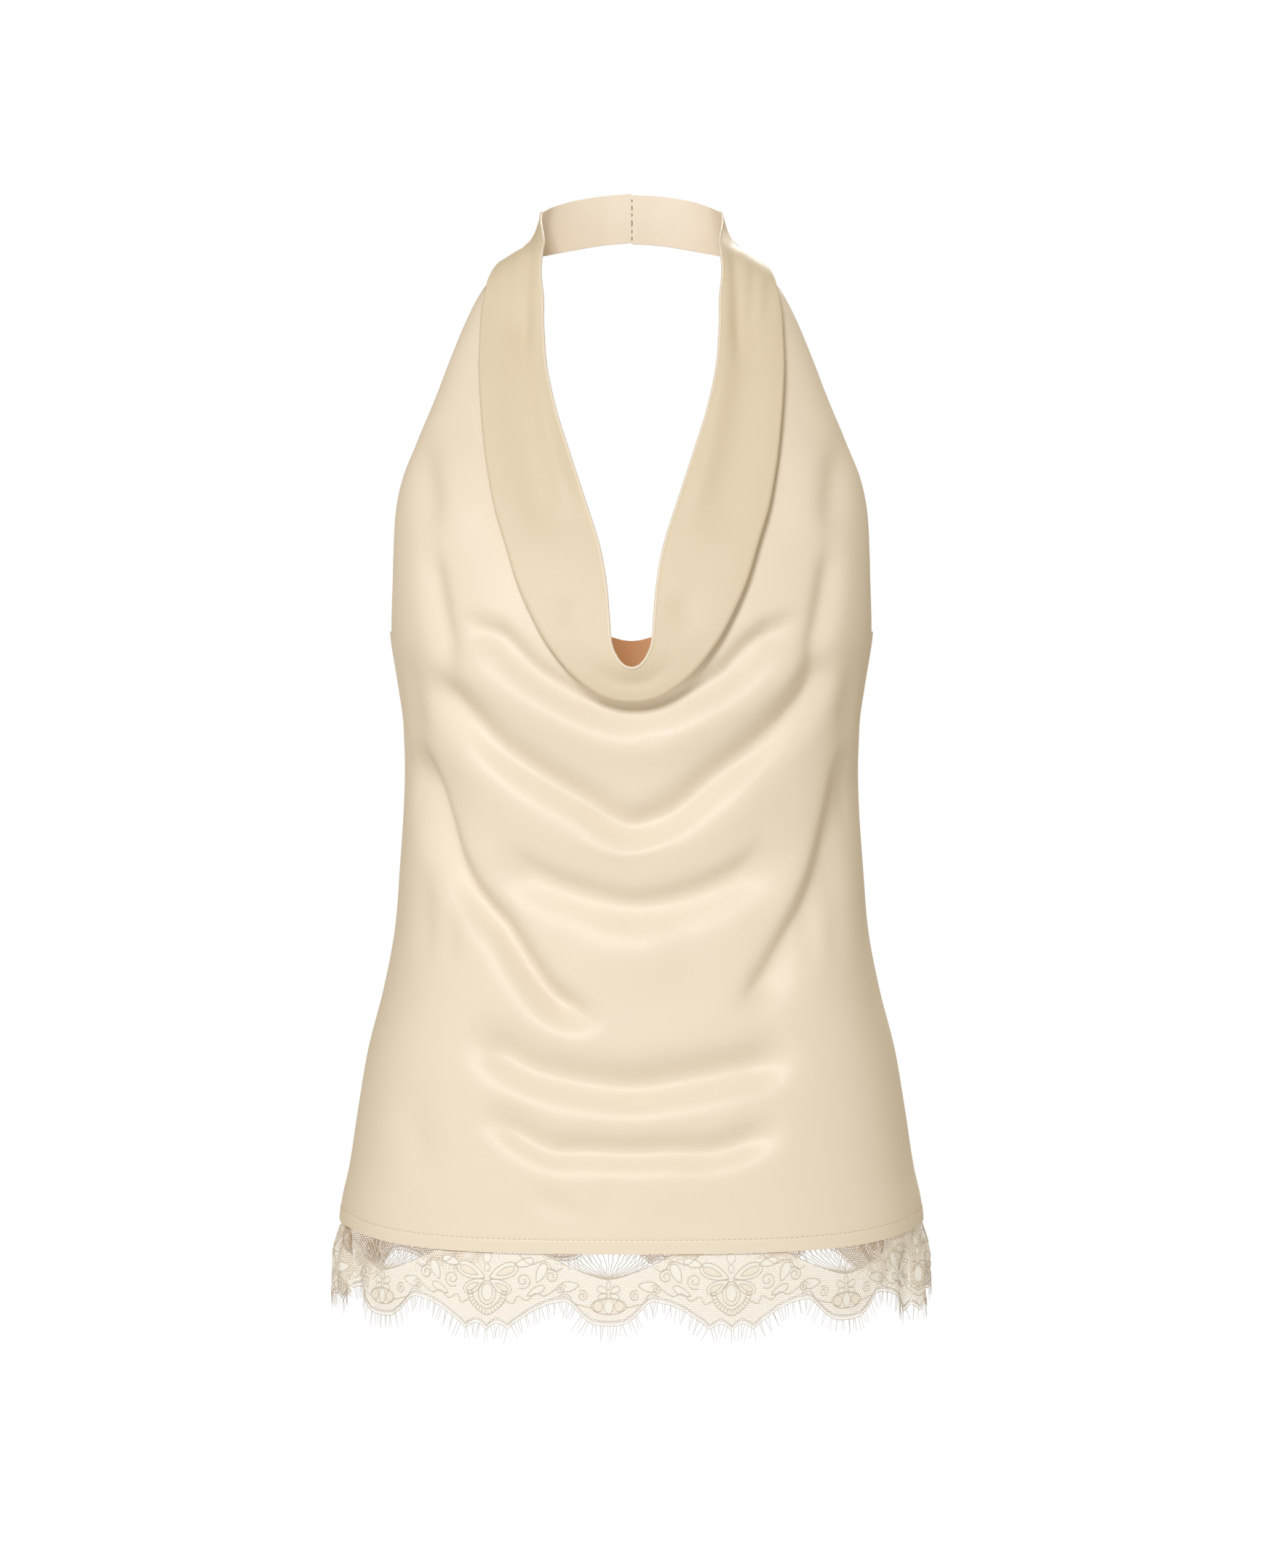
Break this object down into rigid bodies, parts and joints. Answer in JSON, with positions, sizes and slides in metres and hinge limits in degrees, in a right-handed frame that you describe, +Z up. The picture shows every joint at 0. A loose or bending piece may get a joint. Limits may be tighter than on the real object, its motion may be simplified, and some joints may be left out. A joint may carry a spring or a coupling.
{
  "type": "halter neck top",
  "caption": "Satin halter neck top with a draped cowl front, a neck strap, a low back and a scalloped eyelash lace hem, kept in its hollow worn form.",
  "frame": {"origin": "inside face of the neck strap at the centre back, where it rests on the nape", "axes": "+Z up, front faces -Y, +X towards the wearer's left"},
  "size_m": [0.3914, 0.2605, 0.7469],
  "materials": {
    "satin_front": "satin",
    "satin_back": "satin",
    "satin_strap": "satin",
    "lace": "matte",
    "eyelash": "matte"
  },
  "bodies": {
    "root": {"front": "satin_front", "back": "satin_back", "strap_left": "satin_strap", "strap_right": "satin_strap", "lace_front": "lace", "lace_back": "lace", "fringe_front": "eyelash", "fringe_back": "eyelash"}
  },
  "joints": []
}
